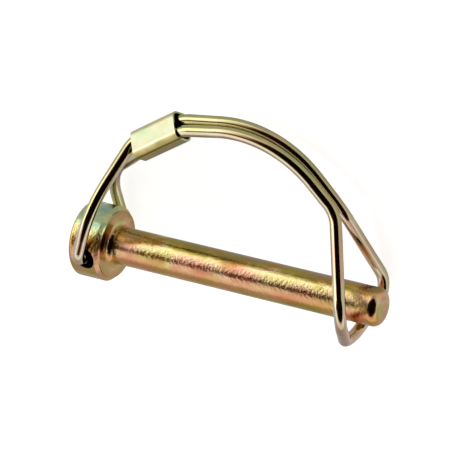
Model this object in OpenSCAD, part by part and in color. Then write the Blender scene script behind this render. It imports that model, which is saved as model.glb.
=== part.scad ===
// Lynch pin: a headed round pin kept in place by a sprung bail of round wire.
// Sizes are in millimetres. They are given with the bail standing up over the pin: X along the pin from the
// head's seat to the tip, Y across, Z up. The finished part is then laid on its side, the way it comes to rest,
// with its origin where the plain shank begins, at the end of the neck's fillet.

/* [Pin] */
// Diameter of the shank
pin_d = 10; // [6:0.5:16]
// Length from the head's seat to the tip
pin_length = 77.3; // [60:0.5:110]
// Rounding of the tip's edge
tip_round = 2.2; // [0.4:0.1:3]

/* [Head] */
// Diameter of the head
head_d = 20; // [16:0.5:30]
// Thickness of the head
head_t = 9.2; // [7:0.2:14]
// Rounding of the rim on the outer face
rim_round = 1.0; // [0.3:0.1:2]
// Width of the bevel round the seat, measured along the radius
bevel_width = 1.7; // [0.5:0.1:2.5]
// Depth of that bevel, measured along the pin
bevel_depth = 1.2; // [0.3:0.1:1.5]
// Fillet where the shank leaves the seat
neck_fillet = 1.5; // [0.3:0.1:2]
// Hole drilled across the head: distance along the pin, height
hole_at = [-4.1, -1.6];
// Play between the wire and that hole, on the radius
hole_play = 1.3; // [1.2:0.1:1.5]

/* [Wire] */
// Diameter of the wire
wire_d = 3.1; // [2:0.1:4]
// How much thinner the wire is drawn in its bends
bend_draw = 0.04; // [0.02:0.01:0.08]
// Where the wire lies in the hole, off its middle: along the pin, in height
wire_rest = [-1.05, -0.3];
// Gap between the wire's two ends in the middle of the head
end_gap = 4; // [1:0.5:8]
// Clearance between the side of the head and the wire's front leg
front_clear = 0.5; // [0.3:0.05:1.5]
// Clearance between the side of the head and the wire's rear leg
rear_clear = 1.7; // [1.2:0.05:2.5]
// Bend at the mouth of the cross-hole
mouth_bend = 3.0; // [2.5:0.1:4]
// Clearance between the two strands where they run together
strand_clear = 0.3; // [0.1:0.02:0.6]

/* [Legs] */
// Knee of the front leg: distance along the pin, half-width, height
front_knee = [-1.5, 12.1, 13.2];
// Bend at that knee
front_knee_bend = 26; // [10:1:32]
// Knee of the rear leg: distance along the pin, half-width, height
rear_knee = [-7.25, 7.7, 16.3];
// Bend at that knee
rear_knee_bend = 13.5; // [8:0.5:18]
// Bend of the front leg as it crosses over into the sleeve
over_bend = 5.5; // [4:0.5:8]
// Bend of the rear leg as it passes under into the sleeve
under_bend = 7.8; // [4:0.2:10]

/* [Sleeve] */
// Middle of the sleeve: distance along the pin, height
sleeve_at = [11.85, 32.6];
// Slope of the sleeve, in degrees
sleeve_slope = 32.5; // [20:0.5:45]
// Length of the sleeve
sleeve_length = 14.6; // [8:0.2:18]
// Lean of the two strands from level where they cross, in degrees
cross_lean = 70; // [60:1:90]
// Lean of the two strands from level as they leave the sleeve, in degrees
leave_lean = 42; // [30:1:60]
// Roll of the sleeve about the strands, in degrees
sleeve_roll = 60; // [50:1:70]
// Thickness of the sleeve's sheet
sheet = 0.5; // [0.3:0.1:1]
// Inside of the sleeve beyond the two strands side by side: along its wide side, along its narrow side
sleeve_play = [0.3, 2.1];
// Shift of the sleeve for the strands' curve: along its wide side, along its narrow side
sleeve_shift = [-0.08, -0.57];
// Outer rounding of the sleeve's folds
fold_round = 1.9; // [0.8:0.1:2.4]

/* [Arc] */
// Corner that the arc is bent round: distance along the pin, height
crown = [45.0, 40.7];
// Bend of the arc
arc_bend = 33; // [25:0.5:36]
// Lean of the strands from level at the crown, in degrees
crown_lean = 22; // [0:1:60]
// Where the strands part: distance along the pin, height
parting = [63.6, 23.0];
// Bend where they part
parting_bend = 9.5; // [6:0.5:12]

/* [Loop] */
// Widest corners of the loop: distance along the pin, half-width, height
loop_corner = [72.1, 13.8, 0];
// Bend at those corners
loop_bend = 6.4; // [3:0.2:8]
// Ends of the loop's foot: distance along the pin, half-width, height
loop_foot = [68.5, 3.0, -10.1];
// Bend at the ends of the foot
foot_bend = 5.2; // [3:0.2:6]

/* [Rest] */
// Roll about the pin that sets the arc down beside the leg and the loop, in degrees
lie_roll = 14.55; // [5:0.05:30]

/* [Hidden] */
$fn = 64;
wire_fn = 32;
// How far each straight reaches into the thinner bends at its ends
lap = 0.04;
// How far a cut runs past the surface that it opens
past = 1;
steel_yellow = [0.80, 0.66, 0.36];
wire_yellow = [0.76, 0.60, 0.34];
sheet_yellow = [0.82, 0.78, 0.52];
head_r = head_d / 2;
hole_d = wire_d + 2 * hole_play;
// Middle of the wire's ends: along the pin, height
hinge = hole_at + wire_rest;
front_half = head_r + wire_d / 2 + front_clear;
rear_half = head_r + wire_d / 2 + rear_clear;
apart = (wire_d + strand_clear) / 2;
// Directions along the sleeve and square to it in the bail's own plane
along = [cos(sleeve_slope), 0, sin(sleeve_slope)];
square_up = [-sin(sleeve_slope), 0, cos(sleeve_slope)];
// From the middle of the pair to the upper strand: where they cross, past the sleeve and at the crown
cross_split = apart * ([0, cos(cross_lean), 0] + sin(cross_lean) * square_up);
leave_split = apart * ([0, cos(leave_lean), 0] + sin(leave_lean) * square_up);
crown_split = apart * [0, cos(crown_lean), sin(crown_lean)];
sleeve_mid = [sleeve_at.x, 0, sleeve_at.y];
// Corners of the upper and lower strand before the sleeve's middle, and of both past it
over_back = 8.3;
under_back = 4.1;
arc_ahead = 7.5;
// Bend that eases the strands into the arc
ease_bend = 12;
// Inside of the sleeve
bore_w = wire_d + 2 * apart + sleeve_play.x;
bore_h = wire_d + sleeve_play.y;

function unit(v) = v / norm(v);

// Corners of one strand, from its end in the head to the foot of the loop.
// Strand 1 leaves the head at the front and runs on top; strand -1 leaves at the rear and runs below.
function strand(s) = [
  [hinge.x, -s * end_gap / 2, hinge.y],
  [hinge.x, s > 0 ? -front_half : rear_half, hinge.y],
  s > 0 ? [front_knee.x, -front_knee.y, front_knee.z] : rear_knee,
  sleeve_mid - along * (s > 0 ? over_back : under_back) + s * cross_split,
  sleeve_mid + along * arc_ahead + s * leave_split,
  [crown.x, 0, crown.y] + s * crown_split,
  [parting.x, s * apart, parting.y],
  [loop_corner.x, s * loop_corner.y, loop_corner.z],
  [loop_foot.x, s * loop_foot.y, loop_foot.z]
];

function strand_bends(s) = [
  0,
  mouth_bend,
  s > 0 ? front_knee_bend : rear_knee_bend,
  s > 0 ? over_bend : under_bend,
  ease_bend,
  arc_bend,
  parting_bend,
  loop_bend,
  foot_bend
];

function backwards(list) = [for (i = [len(list) - 1:-1:0]) list[i]];

// The whole wire, end to end
corners = concat(strand(1), backwards(strand(-1)));
bends = concat(strand_bends(1), backwards(strand_bends(-1)));
last = len(corners) - 1;

function behind(i) = unit(corners[i - 1] - corners[i]);
function ahead(i) = unit(corners[i + 1] - corners[i]);
function half_angle(i) = acos(behind(i) * ahead(i)) / 2;
// Length of a corner that its bend takes up, less the lap
function taken(i) = i == 0 || i == last ? 0 : bends[i] / tan(half_angle(i)) - lap;

// Puts its children in the frame with these axes and this origin
module in_frame(x, y, z, at) {
  multmatrix([
    [x.x, y.x, z.x, at.x],
    [x.y, y.y, z.y, at.y],
    [x.z, y.z, z.z, at.z],
    [0, 0, 0, 1]
  ])
    children();
}

module straight(i) {
  run = ahead(i);
  from = corners[i] + run * taken(i);
  length = norm(corners[i + 1] - corners[i]) - taken(i) - taken(i + 1);
  side = unit(cross(abs(run.x) > 0.9 ? [0, 0, 1] : [1, 0, 0], run));
  in_frame(side, cross(run, side), run, from)
    cylinder(h = length, d = wire_d, $fn = wire_fn);
}

module bend(i) {
  centre = corners[i] + unit(behind(i) + ahead(i)) * bends[i] / sin(half_angle(i));
  x = unit(corners[i] + behind(i) * bends[i] / tan(half_angle(i)) - centre);
  z = unit(cross(behind(i), x));
  in_frame(x, cross(z, x), z, centre)
    rotate_extrude(angle = 180 - 2 * half_angle(i))
      translate([bends[i], 0])
        circle(d = wire_d - bend_draw, $fn = wire_fn);
}

// A rectangle with round corners
module rounded(w, h, r) {
  square([w - 2 * r, h], center = true);
  square([w, h - 2 * r], center = true);
  for (sx = [-1, 1], sy = [-1, 1])
    translate([sx * (w / 2 - r), sy * (h / 2 - r)])
      circle(r);
}

// Lays the upright part on its side, with its origin where the plain shank begins
module laid() {
  rotate([-90 - lie_roll, 0, 0])
    translate([-neck_fillet, 0, 0])
      children();
}

// Half section of the turned pin: radius across, length up
module pin_section() {
  bevel_r = head_r - bevel_width;
  neck_r = pin_d / 2 + neck_fillet;
  difference() {
    union() {
      translate([0, -head_t])
        square([head_r - rim_round, head_t]);
      translate([0, -head_t + rim_round])
        square([head_r, head_t - rim_round - bevel_depth]);
      translate([head_r - rim_round, -head_t + rim_round])
        circle(rim_round);
      polygon([[0, -bevel_depth], [head_r, -bevel_depth], [bevel_r, 0], [0, 0]]);
      square([neck_r, neck_fillet]);
      square([pin_d / 2, pin_length - tip_round]);
      square([pin_d / 2 - tip_round, pin_length]);
      translate([pin_d / 2 - tip_round, pin_length - tip_round])
        circle(tip_round);
    }
    translate([neck_r, neck_fillet])
      circle(neck_fillet);
    translate([-pin_d, -head_t - past])
      square([pin_d, pin_length + head_t + 2 * past]);
  }
}

module pin() {
  color(steel_yellow)
    laid()
      difference() {
        rotate([90, 0, 90])
          rotate_extrude()
            pin_section();
        translate([hole_at.x, 0, hole_at.y])
          rotate([90, 0, 0])
            cylinder(h = head_d + 2 * past, d = hole_d, center = true);
      }
}

module wire_bail() {
  color(wire_yellow)
    laid() {
      for (i = [0:last - 1])
        straight(i);
      for (i = [1:last - 1])
        bend(i);
    }
}

module ferrule() {
  wide = [0, cos(sleeve_roll), 0] + sin(sleeve_roll) * square_up;
  narrow = cross(along, wide);
  color(sheet_yellow)
    laid()
      in_frame(wide, narrow, along, sleeve_mid + sleeve_shift.x * wide + sleeve_shift.y * narrow)
        linear_extrude(sleeve_length, center = true)
          difference() {
            rounded(bore_w + 2 * sheet, bore_h + 2 * sheet, fold_round);
            rounded(bore_w, bore_h, fold_round - sheet);
          }
}

pin();
wire_bail();
ferrule();
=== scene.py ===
"""Looks of the lynch pin: yellow zinc-plated steel in a white light tent.

Directions and points are given in an upright frame, in which the shank runs along X, the bail stands
up along Z and Y points to the rear. Lie turns them to the frame of the part as it lies.
"""

import logging
import math
from dataclasses import dataclass
from enum import Enum

import bpy
from mathutils import Matrix, Vector


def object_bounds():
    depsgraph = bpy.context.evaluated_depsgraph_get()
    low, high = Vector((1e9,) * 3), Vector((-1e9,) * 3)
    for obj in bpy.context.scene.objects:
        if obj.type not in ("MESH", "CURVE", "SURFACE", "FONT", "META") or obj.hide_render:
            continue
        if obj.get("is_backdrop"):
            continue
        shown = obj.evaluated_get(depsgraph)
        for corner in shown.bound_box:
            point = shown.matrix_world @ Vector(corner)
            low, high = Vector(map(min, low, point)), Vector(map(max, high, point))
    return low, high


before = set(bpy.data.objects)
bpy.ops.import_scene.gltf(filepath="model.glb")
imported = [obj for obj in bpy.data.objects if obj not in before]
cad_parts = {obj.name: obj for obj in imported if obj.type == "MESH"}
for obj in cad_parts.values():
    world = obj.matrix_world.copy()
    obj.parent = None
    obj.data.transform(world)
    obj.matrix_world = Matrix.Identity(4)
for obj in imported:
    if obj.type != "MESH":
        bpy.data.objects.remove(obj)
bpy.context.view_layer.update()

log = logging.getLogger("scene")

MM = 0.001
MIDWAY = 0.5
# A Mix node's colour sockets go by number, because its other kinds of socket have the same names
UNDER, OVER, MIXED = 6, 7, 2

Pair = tuple[float, float]
Triple = tuple[float, float, float]
Stops = tuple[tuple[float, str], ...]

ACROSS_SHANK: Triple = (0.0, 1.0, 1.0)  # leaves of a point only how far it is off the shank's axis


def linear(colour: str) -> tuple[float, float, float, float]:
    """Turns an sRGB hex colour into linear RGBA.

    Args:
        colour: a colour such as "#d8c27a".

    Returns:
        The same colour in linear light, opaque.
    """
    parts = [int(colour[i : i + 2], 16) / 255 for i in (1, 3, 5)]
    lit = [p / 12.92 if p <= 0.04045 else ((p + 0.055) / 1.055) ** 2.4 for p in parts]
    return (*lit, 1.0)


def add_node(
    tree: bpy.types.NodeTree,
    kind: str,
    inputs: dict | None = None,
    stops: Stops = (),
    **settings: object,
) -> bpy.types.Node:
    """Adds a shader node, links or sets its inputs and sets its own settings.

    Args:
        tree: the node tree to add to.
        kind: the node's type name, such as "ShaderNodeTexNoise".
        inputs: input name or number to a socket to link from, or to a plain value.
        stops: where the node is a colour ramp, its places and colours in rising order.
        settings: the node's own properties.

    Returns:
        The new node.
    """
    node = tree.nodes.new(kind)
    for name, value in settings.items():
        setattr(node, name, value)
    for name, value in (inputs or {}).items():
        if isinstance(value, bpy.types.NodeSocket):
            tree.links.new(value, node.inputs[name])
        else:
            node.inputs[name].default_value = value
    if stops:
        ramp = node.color_ramp
        ramp.interpolation = "B_SPLINE"
        while len(ramp.elements) < len(stops):
            ramp.elements.new(MIDWAY)
        for element, (at, shade) in zip(ramp.elements, stops):
            element.position = at
            element.color = linear(shade)
    return node


@dataclass(frozen=True)
class Lie:
    """How the part lies: rolled over about the shank until three points meet the floor."""

    roll_deg: float = 14.55

    def matrix(self) -> Matrix:
        """The turn from the upright frame to the lying frame."""
        return Matrix.Rotation(math.radians(-90 - self.roll_deg), 3, "X")


LIE = Lie()


@dataclass(frozen=True)
class BoreShade:
    """The head's cross-hole, whose wall is painted near-black as painted shade."""

    at_mm: Triple = (-5.6, 0.0, -1.6)  # a point on its axis
    way: Triple = (0.0, 1.0, 0.0)
    radius_mm: float = 2.85
    margin_mm: float = 0.05  # so that no speck of its wall is left bright
    # near-black painted shade for the hole's wall
    colour: str = "#15110c"

    def mask(
        self, tree: bpy.types.NodeTree, place: bpy.types.NodeSocket
    ) -> bpy.types.NodeSocket:
        """Tells the hole's wall, where the painted shade goes, from the rest of the piece.

        Args:
            tree: the material's node tree.
            place: the point in the piece's own frame.

        Returns:
            A socket that is 1 on the hole's wall and 0 elsewhere.
        """
        turn = LIE.matrix()
        arm = add_node(
            tree,
            "ShaderNodeVectorMath",
            {0: place, 1: turn @ Vector(self.at_mm) * MM},
            operation="SUBTRACT",
        )
        across = add_node(
            tree,
            "ShaderNodeVectorMath",
            {0: arm.outputs["Vector"], 1: turn @ Vector(self.way)},
            operation="CROSS_PRODUCT",
        )
        off = add_node(
            tree, "ShaderNodeVectorMath", {0: across.outputs["Vector"]}, operation="LENGTH"
        )
        return add_node(
            tree,
            "ShaderNodeMath",
            {0: off.outputs["Value"], 1: (self.radius_mm + self.margin_mm) * MM},
            operation="LESS_THAN",
        ).outputs["Value"]


@dataclass(frozen=True)
class Film:
    """Chromate film on zinc, tinted by its build-up and by painted light, on metal with a fine grain.

    The build-up is about a half on a face that looks sideways. It grows along hung, the way that
    the bath drained, and wanders in patches. The same facing lays painted light: bright stops give a
    painted highlight on faces that mirror the tent's brightest part, and dark ones painted shade on
    faces that look down. A blush of other tints lies over it in larger flecks.
    """

    name: str
    stops: Stops  # tints from thin film to thicker, with a painted highlight and painted shade among them
    patch_mm: float
    patch_share: float  # how far the patches move the thickness
    drain_and_light_share: float  # how far the facing moves it from the thin side to the thicker one, and so through painted light
    rough: Pair  # where it is least worn and most
    grain_mm: float
    grain_depth_mm: float
    # the way the bath drained, along which the film builds up and the painted light is laid
    drain_and_light_way: Triple = (0.0, 0.0, 1.0)
    streak: Triple = (1.0, 1.0, 1.0)  # below 1 draws the patches out along that axis
    blush: Stops = ((0.28, "#ffdce6"), (0.50, "#ffffff"), (0.72, "#eef8e0"))
    blush_mm: float = 14.0
    rim_stops: Stops = ()  # tints of a head, away from the shank's axis, with their own painted highlight and shade
    rim_mm: Pair = (6.0, 9.0)  # from the axis, where those tints begin and where they are full
    # near-black painted shade on a cross-hole's wall, where there is one
    bore_shade: BoreShade | None = None
    wear_mm: float = 3.0
    wear_span: Pair = (0.3, 0.7)  # the part of the noise that runs over the whole of rough
    patch_detail: float = 3.0
    patch_raggedness: float = 0.55
    patch_bend: float = 0.4
    blush_detail: float = 1.0
    wear_detail: float = 5.0
    grain_detail: float = 2.0
    grain_raggedness: float = 0.6

    def film_and_painted_light(
        self, tree: bpy.types.NodeTree, normal: bpy.types.NodeSocket, drawn: bpy.types.NodeSocket
    ) -> bpy.types.NodeSocket:
        """Works out the film's build-up, with the painted highlight and shade that the facing lays.

        Args:
            tree: the material's node tree.
            normal: the way that the surface faces, in the piece's own frame.
            drawn: the point in the piece's own frame, drawn out along the streaks.

        Returns:
            The build-up with its painted light, a half in the middle of the tints.
        """
        patches = add_node(
            tree,
            "ShaderNodeTexNoise",
            {
                "Vector": drawn,
                "Scale": 1 / (self.patch_mm * MM),
                "Detail": self.patch_detail,
                "Roughness": self.patch_raggedness,
                "Distortion": self.patch_bend,
            },
        )
        # how far a face looks along hung, which sets both the film's build-up and its painted
        # highlight and shade
        facing_for_film_and_light = add_node(
            tree,
            "ShaderNodeVectorMath",
            {0: normal, 1: LIE.matrix() @ Vector(self.drain_and_light_way)},
            operation="DOT_PRODUCT",
        )
        film_and_light_level = MIDWAY - self.patch_share / 2
        for source, share in (
            (patches.outputs["Fac"], self.patch_share),
            (facing_for_film_and_light.outputs["Value"], self.drain_and_light_share / 2),
        ):
            film_and_light_level = add_node(
                tree, "ShaderNodeMath", {0: source, 1: share, 2: film_and_light_level}, operation="MULTIPLY_ADD"
            ).outputs["Value"]
        return film_and_light_level

    def tint(
        self,
        tree: bpy.types.NodeTree,
        place: bpy.types.NodeSocket,
        drawn: bpy.types.NodeSocket,
        film_and_light_level: bpy.types.NodeSocket,
    ) -> bpy.types.NodeSocket:
        """Colours the metal.

        Args:
            tree: the material's node tree.
            place: the point in the piece's own frame.
            drawn: that point, drawn out along the streaks.
            film_and_light_level: the film's build-up, with its painted highlight and shade.

        Returns:
            The metal's colour, with a head's tints and the cross-hole's painted shade, where there are
            such.
        """
        flecks = add_node(
            tree,
            "ShaderNodeTexNoise",
            {
                "Vector": drawn,
                "Scale": 1 / (self.blush_mm * MM),
                "Detail": self.blush_detail,
            },
        )
        # the film's tints, a painted highlight and painted shade among them
        film = add_node(tree, "ShaderNodeValToRGB", {"Fac": film_and_light_level}, self.stops)
        blush = add_node(tree, "ShaderNodeValToRGB", {"Fac": flecks.outputs["Fac"]}, self.blush)
        colour = add_node(
            tree,
            "ShaderNodeMix",
            {"Factor": 1.0, UNDER: film.outputs["Color"], OVER: blush.outputs["Color"]},
            data_type="RGBA",
            blend_type="MULTIPLY",
        ).outputs[MIXED]
        if self.rim_stops:
            arm = add_node(
                tree, "ShaderNodeVectorMath", {0: place, 1: ACROSS_SHANK}, operation="MULTIPLY"
            )
            reach = add_node(
                tree, "ShaderNodeVectorMath", {0: arm.outputs["Vector"]}, operation="LENGTH"
            )
            rim = add_node(
                tree,
                "ShaderNodeMapRange",
                {
                    "Value": reach.outputs["Value"],
                    "From Min": self.rim_mm[0] * MM,
                    "From Max": self.rim_mm[1] * MM,
                },
                interpolation_type="SMOOTHSTEP",
            )
            head = add_node(tree, "ShaderNodeValToRGB", {"Fac": film_and_light_level}, self.rim_stops)
            colour = add_node(
                tree,
                "ShaderNodeMix",
                {"Factor": rim.outputs["Result"], UNDER: colour, OVER: head.outputs["Color"]},
                data_type="RGBA",
            ).outputs[MIXED]
        # painted shade: the cross-hole's wall turns near-black
        if self.bore_shade:
            colour = add_node(
                tree,
                "ShaderNodeMix",
                {
                    "Factor": self.bore_shade.mask(tree, place),
                    UNDER: colour,
                    OVER: linear(self.bore_shade.colour),
                },
                data_type="RGBA",
            ).outputs[MIXED]
        return colour

    def material(self) -> bpy.types.Material:
        """Builds the plated metal.

        Returns:
            A metal whose colour runs through the film's tints as the film builds up, a painted
            highlight and shade among them, and whose fine grain shows where a reflection ends.
        """
        made = bpy.data.materials.new(self.name)
        made.use_nodes = True
        tree = made.node_tree
        tree.nodes.clear()
        coords = add_node(tree, "ShaderNodeTexCoord")
        place = coords.outputs["Object"]
        drawn = add_node(
            tree, "ShaderNodeMapping", {"Vector": place, "Scale": self.streak}
        ).outputs["Vector"]
        film_and_light_level = self.film_and_painted_light(tree, coords.outputs["Normal"], drawn)
        worn = add_node(
            tree,
            "ShaderNodeTexNoise",
            {"Vector": drawn, "Scale": 1 / (self.wear_mm * MM), "Detail": self.wear_detail},
        )
        rough = add_node(
            tree,
            "ShaderNodeMapRange",
            {
                "Value": worn.outputs["Fac"],
                "From Min": self.wear_span[0],
                "From Max": self.wear_span[1],
                "To Min": self.rough[0],
                "To Max": self.rough[1],
            },
        )
        grain = add_node(
            tree,
            "ShaderNodeTexNoise",
            {
                "Vector": place,
                "Scale": 1 / (self.grain_mm * MM),
                "Detail": self.grain_detail,
                "Roughness": self.grain_raggedness,
            },
        )
        bumped = add_node(
            tree,
            "ShaderNodeBump",
            {
                "Height": grain.outputs["Fac"],
                "Strength": 1.0,
                "Distance": self.grain_depth_mm * MM,
            },
        )
        metal = add_node(
            tree,
            "ShaderNodeBsdfPrincipled",
            {
                "Base Color": self.tint(tree, place, drawn, film_and_light_level),
                "Metallic": 1.0,
                "Roughness": rough.outputs["Result"],
                "Normal": bumped.outputs["Normal"],
            },
        )
        add_node(tree, "ShaderNodeOutputMaterial", {"Surface": metal.outputs["BSDF"]})
        return made


# Turned steel under yellow zinc: from below, the shank goes through olive, gold, salmon and cream back
# to olive, and its head ends in teal. The cream is a painted highlight and the dark olive underneath
# is painted shade. Its real grain, of about 0.1 mm, is too fine to show, so it is drawn 0.8 mm wide,
# and deep enough to break up the edge of a dark reflection.
PIN_FILM = Film(
    name="yellow zinc on turned steel",
    stops=(
        (0.14, "#7a6a28"),
        (0.22, "#ac983a"),
        (0.31, "#cca050"),
        (0.40, "#d8a07a"),
        (0.50, "#d2b47c"),
        (0.59, "#ecdaa4"),
        (0.68, "#f6e6b8"),
        (0.74, "#f0daa0"),
        (0.785, "#c0a646"),
        (0.84, "#aca04e"),
        (0.90, "#a4a67c"),
        (1.00, "#8cb29c"),
    ),
    patch_mm=5.0,
    patch_share=0.45,
    drain_and_light_share=0.7,
    rough=(0.13, 0.22),
    grain_mm=0.8,
    grain_depth_mm=0.085,
    drain_and_light_way=(0.15, 0.0, 0.99),
    streak=(0.5, 1.0, 1.0),
    blush=((0.32, "#f0f8c4"), (0.48, "#ffffff"), (0.64, "#ffd0e2")),
    blush_mm=5.5,
    # the head's pale yellow is a painted highlight, the darker gold at 0.57 a painted dark reflection,
    # and the dark olive at the bottom painted shade
    rim_stops=(
        (0.16, "#6e6028"),
        (0.26, "#a8943c"),
        (0.36, "#c4a248"),
        (0.44, "#cc9484"),
        (0.50, "#d4a67c"),
        (0.57, "#c09a54"),
        (0.64, "#d4b45c"),
        (0.72, "#f0e6a8"),
        (0.79, "#bccc98"),
        (0.86, "#92b89e"),
        (0.97, "#82a8a0"),
    ),
    bore_shade=BoreShade(),
)
# Drawn spring wire under yellow zinc: a smooth pale gold that mirrors the tent sharply, with a faint
# blush of pink and green. Its cream on faces that look sideways is partly a painted highlight, and its
# dark tint on faces that look down is partly painted shade
WIRE_FILM = Film(
    name="yellow zinc on spring wire",
    stops=(
        (0.08, "#8a7860"),
        (0.30, "#ccb090"),
        (0.46, "#f0e6d0"),
        (0.60, "#eee4c0"),
        (0.76, "#d8ca90"),
        (0.94, "#b4b88e"),
    ),
    patch_mm=12.0,
    patch_share=0.6,
    drain_and_light_share=0.8,
    rough=(0.09, 0.14),
    grain_mm=0.5,
    grain_depth_mm=0.0006,
)
# Folded sheet steel under yellow zinc: pale green-yellow, with a softer shine than the wire. Its pale
# tints on faces that look up are partly a painted highlight, and its dark tint on faces that look down
# is partly painted shade
SHEET_FILM = Film(
    name="yellow zinc on folded sheet",
    stops=(
        (0.10, "#8e8a58"),
        (0.30, "#a89a58"),
        (0.44, "#b4a86a"),
        (0.56, "#e4d8a8"),
        (0.66, "#e6ecd0"),
        (0.78, "#e6dca8"),
    ),
    patch_mm=7.0,
    patch_share=0.5,
    drain_and_light_share=0.8,
    rough=(0.16, 0.24),
    grain_mm=0.4,
    grain_depth_mm=0.001,
    blush=((0.32, "#e0f4dc"), (0.50, "#ffffff"), (0.68, "#fff2dc")),
    blush_mm=9.0,
)


class Shading(Enum):
    """How a piece's facets show: as one round surface, or as CAD gives them."""

    ROUND = "round"
    AS_CUT = "as cut"


@dataclass
class Piece:
    """One CAD piece: its node, its plating and how its facets show."""

    node: str
    film: Film
    shading: Shading

    def build(self) -> bpy.types.Object:
        """Takes the piece as it was made in CAD.

        Returns:
            The piece's object, with its shading set.
        """
        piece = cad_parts[self.node]
        if self.shading is Shading.ROUND:
            piece.data.shade_smooth()
        return piece

    def dress(self, piece: bpy.types.Object) -> None:
        """Plates the piece.

        Args:
            piece: the piece's object.
        """
        piece.data.materials.clear()
        piece.data.materials.append(self.film.material())


@dataclass
class Pin(Piece):
    """The turned pin: shank and head in one piece, drilled across for the wire."""

    node: str = "pin"
    film: Film = PIN_FILM
    shading: Shading = Shading.ROUND

    def dress(self, pin: bpy.types.Object) -> None:
        """Plates the pin.

        Args:
            pin: the pin's object.
        """
        super().dress(pin)


@dataclass
class WireBail(Piece):
    """The bail: one length of spring wire."""

    node: str = "wire_bail"
    film: Film = WIRE_FILM
    shading: Shading = Shading.ROUND

    def dress(self, wire: bpy.types.Object) -> None:
        """Plates the wire.

        Args:
            wire: the wire's object.
        """
        super().dress(wire)


@dataclass
class Ferrule(Piece):
    """The folded sleeve that keeps the two strands together."""

    node: str = "ferrule"
    film: Film = SHEET_FILM
    shading: Shading = Shading.AS_CUT

    def dress(self, sleeve: bpy.types.Object) -> None:
        """Plates the sleeve.

        Args:
            sleeve: the sleeve's object.
        """
        super().dress(sleeve)


@dataclass(frozen=True)
class Glow:
    """A brighter or dimmer part of the tent: its direction, its reach, its light and its tint."""

    way: Triple
    inner_deg: float
    outer_deg: float
    light: float
    colour: str | None = None


@dataclass
class Floor:
    """The white floor: paper that also glows for the camera and, less, in reflections."""

    half_mm: float = 2500.0
    colour: str = "#e6e6e6"
    glow: float = 0.81  # for the camera
    mirrored: float = 0.25  # in reflections

    def build(self) -> bpy.types.Object:
        """Lays the floor under the part's lowest point.

        Returns:
            The floor's object.
        """
        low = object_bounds()[0].z
        half = self.half_mm * MM
        corners = [(-half, -half, 0), (half, -half, 0), (half, half, 0), (-half, half, 0)]
        mesh = bpy.data.meshes.new("floor")
        mesh.from_pydata(corners, [], [(0, 1, 2, 3)])
        floor = bpy.data.objects.new("floor", mesh)
        floor.location.z = low
        bpy.context.scene.collection.objects.link(floor)
        floor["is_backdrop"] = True
        return floor

    def dress(self, floor: bpy.types.Object) -> None:
        """Gives the floor its white paper, which keeps the part's shadow.

        Args:
            floor: the floor's object.
        """
        paper = bpy.data.materials.new("white paper")
        paper.use_nodes = True
        tree = paper.node_tree
        tree.nodes.clear()
        path = add_node(tree, "ShaderNodeLightPath")
        mirrored = add_node(
            tree,
            "ShaderNodeMath",
            {0: path.outputs["Is Glossy Ray"], 1: path.outputs["Is Transmission Ray"]},
            operation="MAXIMUM",
        )
        glow = 0.0
        for ray, strength in (
            (path.outputs["Is Camera Ray"], self.glow),
            (mirrored.outputs["Value"], self.mirrored),
        ):
            glow = add_node(
                tree, "ShaderNodeMath", {0: ray, 1: strength, 2: glow}, operation="MULTIPLY_ADD"
            ).outputs["Value"]
        shine = add_node(tree, "ShaderNodeEmission", {"Strength": glow})
        matt = add_node(tree, "ShaderNodeBsdfDiffuse", {"Color": linear(self.colour)})
        both = add_node(
            tree,
            "ShaderNodeAddShader",
            {0: matt.outputs["BSDF"], 1: shine.outputs["Emission"]},
        )
        add_node(tree, "ShaderNodeOutputMaterial", {"Surface": both.outputs["Shader"]})
        floor.data.materials.append(paper)


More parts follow.
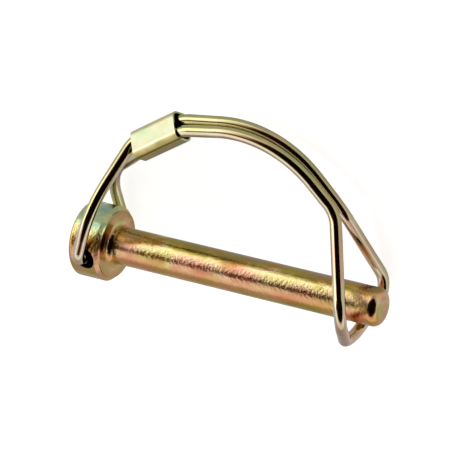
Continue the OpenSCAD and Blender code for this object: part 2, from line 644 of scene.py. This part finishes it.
@dataclass
class Tent:
    """A white light tent with a dark oval opening above the part as it lies, and a brown hem round it.

    Spread says how far out from the opening a ray points: 0 in its middle, 1 on its outline.
    """

    light: float = 0.7
    near: float = 1.6  # the lamps' share close to the opening
    far: float = 0.74  # and far from it
    lamp_spread: Pair = (1.15, 5.0)
    glows: tuple[Glow, ...] = (
        # Mirrored in the sleeve's front face
        Glow(way=(-0.85, -0.45, 0.25), inner_deg=12.0, outer_deg=34.0, light=0.6),
        # Mirrored along the shank's upper side
        Glow(way=(-0.45, -0.50, 0.74), inner_deg=12.0, outer_deg=30.0, light=0.26),
        # A dim brown patch, mirrored along the middle of the shank
        Glow(
            way=(-0.445, -0.888, 0.10),
            inner_deg=5.0,
            outer_deg=15.0,
            light=-0.52,
            colour="#c08050",
        ),
    )
    opening_azimuth_deg: float = 33.0
    opening_rise_deg: float = 14.0
    opening_half_deg: Pair = (52.0, 54.0)
    opening_light: float = 0.02
    edge_spread: Pair = (0.9, 1.15)
    hem_spread: Pair = (0.95, 1.45)
    hem_colour: str = "#7a4420"
    cloth_colour: str = "#ffffff"
    behind_spread: float = 9.0  # added on the far side, where the oval would come again

    def spread(
        self, tree: bpy.types.NodeTree, way: bpy.types.NodeSocket
    ) -> bpy.types.NodeSocket:
        """Works out how far from the opening a ray points.

        Args:
            tree: the world's node tree.
            way: the ray's direction.

        Returns:
            The spread.
        """
        lie = LIE.matrix()
        turn, rise = math.radians(self.opening_azimuth_deg), math.radians(self.opening_rise_deg)
        level = Vector((math.cos(turn), math.sin(turn), 0.0))
        middle = Vector(
            (math.sin(turn) * math.cos(rise), -math.cos(turn) * math.cos(rise), math.sin(rise))
        )
        spread = 0.0
        for side, half in zip((level, middle.cross(level)), self.opening_half_deg):
            along = add_node(
                tree, "ShaderNodeVectorMath", {0: way, 1: lie @ side}, operation="DOT_PRODUCT"
            )
            off = add_node(
                tree,
                "ShaderNodeMath",
                {0: along.outputs["Value"], 1: math.sin(math.radians(half))},
                operation="DIVIDE",
            ).outputs["Value"]
            spread = add_node(
                tree, "ShaderNodeMath", {0: off, 1: off, 2: spread}, operation="MULTIPLY_ADD"
            ).outputs["Value"]
        ahead = add_node(
            tree, "ShaderNodeVectorMath", {0: way, 1: lie @ middle}, operation="DOT_PRODUCT"
        )
        behind = add_node(
            tree, "ShaderNodeMath", {0: ahead.outputs["Value"], 1: 0.0}, operation="LESS_THAN"
        )
        return add_node(
            tree,
            "ShaderNodeMath",
            {0: behind.outputs["Value"], 1: self.behind_spread, 2: spread},
            operation="MULTIPLY_ADD",
        ).outputs["Value"]

    def build(self) -> None:
        """Hangs the tent round the part."""
        world = bpy.data.worlds.new("light tent")
        bpy.context.scene.world = world
        world.use_nodes = True
        tree = world.node_tree
        tree.nodes.clear()
        way = add_node(tree, "ShaderNodeTexCoord").outputs["Generated"]
        light, colour = self.light, linear(self.cloth_colour)
        for glow in self.glows:
            along = add_node(
                tree,
                "ShaderNodeVectorMath",
                {0: way, 1: LIE.matrix() @ Vector(glow.way).normalized()},
                operation="DOT_PRODUCT",
            )
            lobe = add_node(
                tree,
                "ShaderNodeMapRange",
                {
                    "Value": along.outputs["Value"],
                    "From Min": math.cos(math.radians(glow.outer_deg)),
                    "From Max": math.cos(math.radians(glow.inner_deg)),
                },
                interpolation_type="SMOOTHSTEP",
            ).outputs["Result"]
            light = add_node(
                tree, "ShaderNodeMath", {0: lobe, 1: glow.light, 2: light}, operation="MULTIPLY_ADD"
            ).outputs["Value"]
            if glow.colour:
                colour = add_node(
                    tree,
                    "ShaderNodeMix",
                    {"Factor": lobe, UNDER: colour, OVER: linear(glow.colour)},
                    data_type="RGBA",
                ).outputs[MIXED]
        spread = self.spread(tree, way)
        lamps = add_node(
            tree,
            "ShaderNodeMapRange",
            {
                "Value": spread,
                "From Min": self.lamp_spread[0],
                "From Max": self.lamp_spread[1],
                "To Min": self.near,
                "To Max": self.far,
            },
        )
        lit = add_node(
            tree, "ShaderNodeMath", {0: light, 1: lamps.outputs["Result"]}, operation="MULTIPLY"
        )
        strength = add_node(
            tree,
            "ShaderNodeMapRange",
            {
                "Value": spread,
                "From Min": self.edge_spread[0],
                "From Max": self.edge_spread[1],
                "To Min": self.opening_light,
                "To Max": lit.outputs["Value"],
            },
            interpolation_type="SMOOTHSTEP",
        )
        hem = add_node(
            tree,
            "ShaderNodeMapRange",
            {
                "Value": spread,
                "From Min": self.hem_spread[0],
                "From Max": self.hem_spread[1],
                "To Min": 1.0,
                "To Max": 0.0,
            },
        )
        cloth = add_node(
            tree,
            "ShaderNodeMix",
            {"Factor": hem.outputs["Result"], UNDER: colour, OVER: linear(self.hem_colour)},
            data_type="RGBA",
        )
        shine = add_node(
            tree,
            "ShaderNodeBackground",
            {"Color": cloth.outputs[MIXED], "Strength": strength.outputs["Result"]},
        )
        add_node(tree, "ShaderNodeOutputWorld", {"Surface": shine.outputs["Background"]})


@dataclass
class Viewpoint:
    """The camera at the photograph's viewing angle, given in the upright frame."""

    yaw_deg: float = 28.63
    elevation_deg: float = 21.79
    roll_deg: float = 1.67
    distance_mm: float = 686.0
    target_mm: Triple = (30.25, 0.0, 12.40)
    lens_mm: float = 216.1
    sensor_mm: float = 36.0
    clip_end_m: float = 20.0

    def build(self) -> None:
        """Sets up the camera."""
        yaw, rise, roll = map(math.radians, (self.yaw_deg, self.elevation_deg, self.roll_deg))
        ahead = Vector(
            (-math.sin(yaw) * math.cos(rise), math.cos(yaw) * math.cos(rise), -math.sin(rise))
        )
        level = Vector((math.cos(yaw), math.sin(yaw), 0.0))
        right = level * math.cos(roll) + level.cross(ahead) * math.sin(roll)
        up = right.cross(ahead)
        turn = LIE.matrix() @ Matrix((right, up, -ahead)).transposed()
        at = LIE.matrix() @ (Vector(self.target_mm) - ahead * self.distance_mm) * MM
        data = bpy.data.cameras.new("camera")
        data.lens = self.lens_mm
        data.sensor_width = self.sensor_mm
        data.clip_end = self.clip_end_m
        camera = bpy.data.objects.new("camera", data)
        camera.matrix_world = Matrix.Translation(at) @ turn.to_4x4()
        bpy.context.scene.collection.objects.link(camera)
        bpy.context.scene.camera = camera


def main() -> None:
    """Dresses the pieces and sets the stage."""
    logging.basicConfig(level=logging.INFO, format="%(name)s: %(message)s")
    for part in (Pin(), WireBail(), Ferrule()):
        piece = part.build()
        part.dress(piece)
        log.info("%s: %d faces", piece.name, len(piece.data.polygons))
    floor = Floor()
    floor.dress(floor.build())
    Tent().build()
    Viewpoint().build()
    bpy.context.scene.view_settings.view_transform = "Standard"


if __name__ == "__main__":
    main()
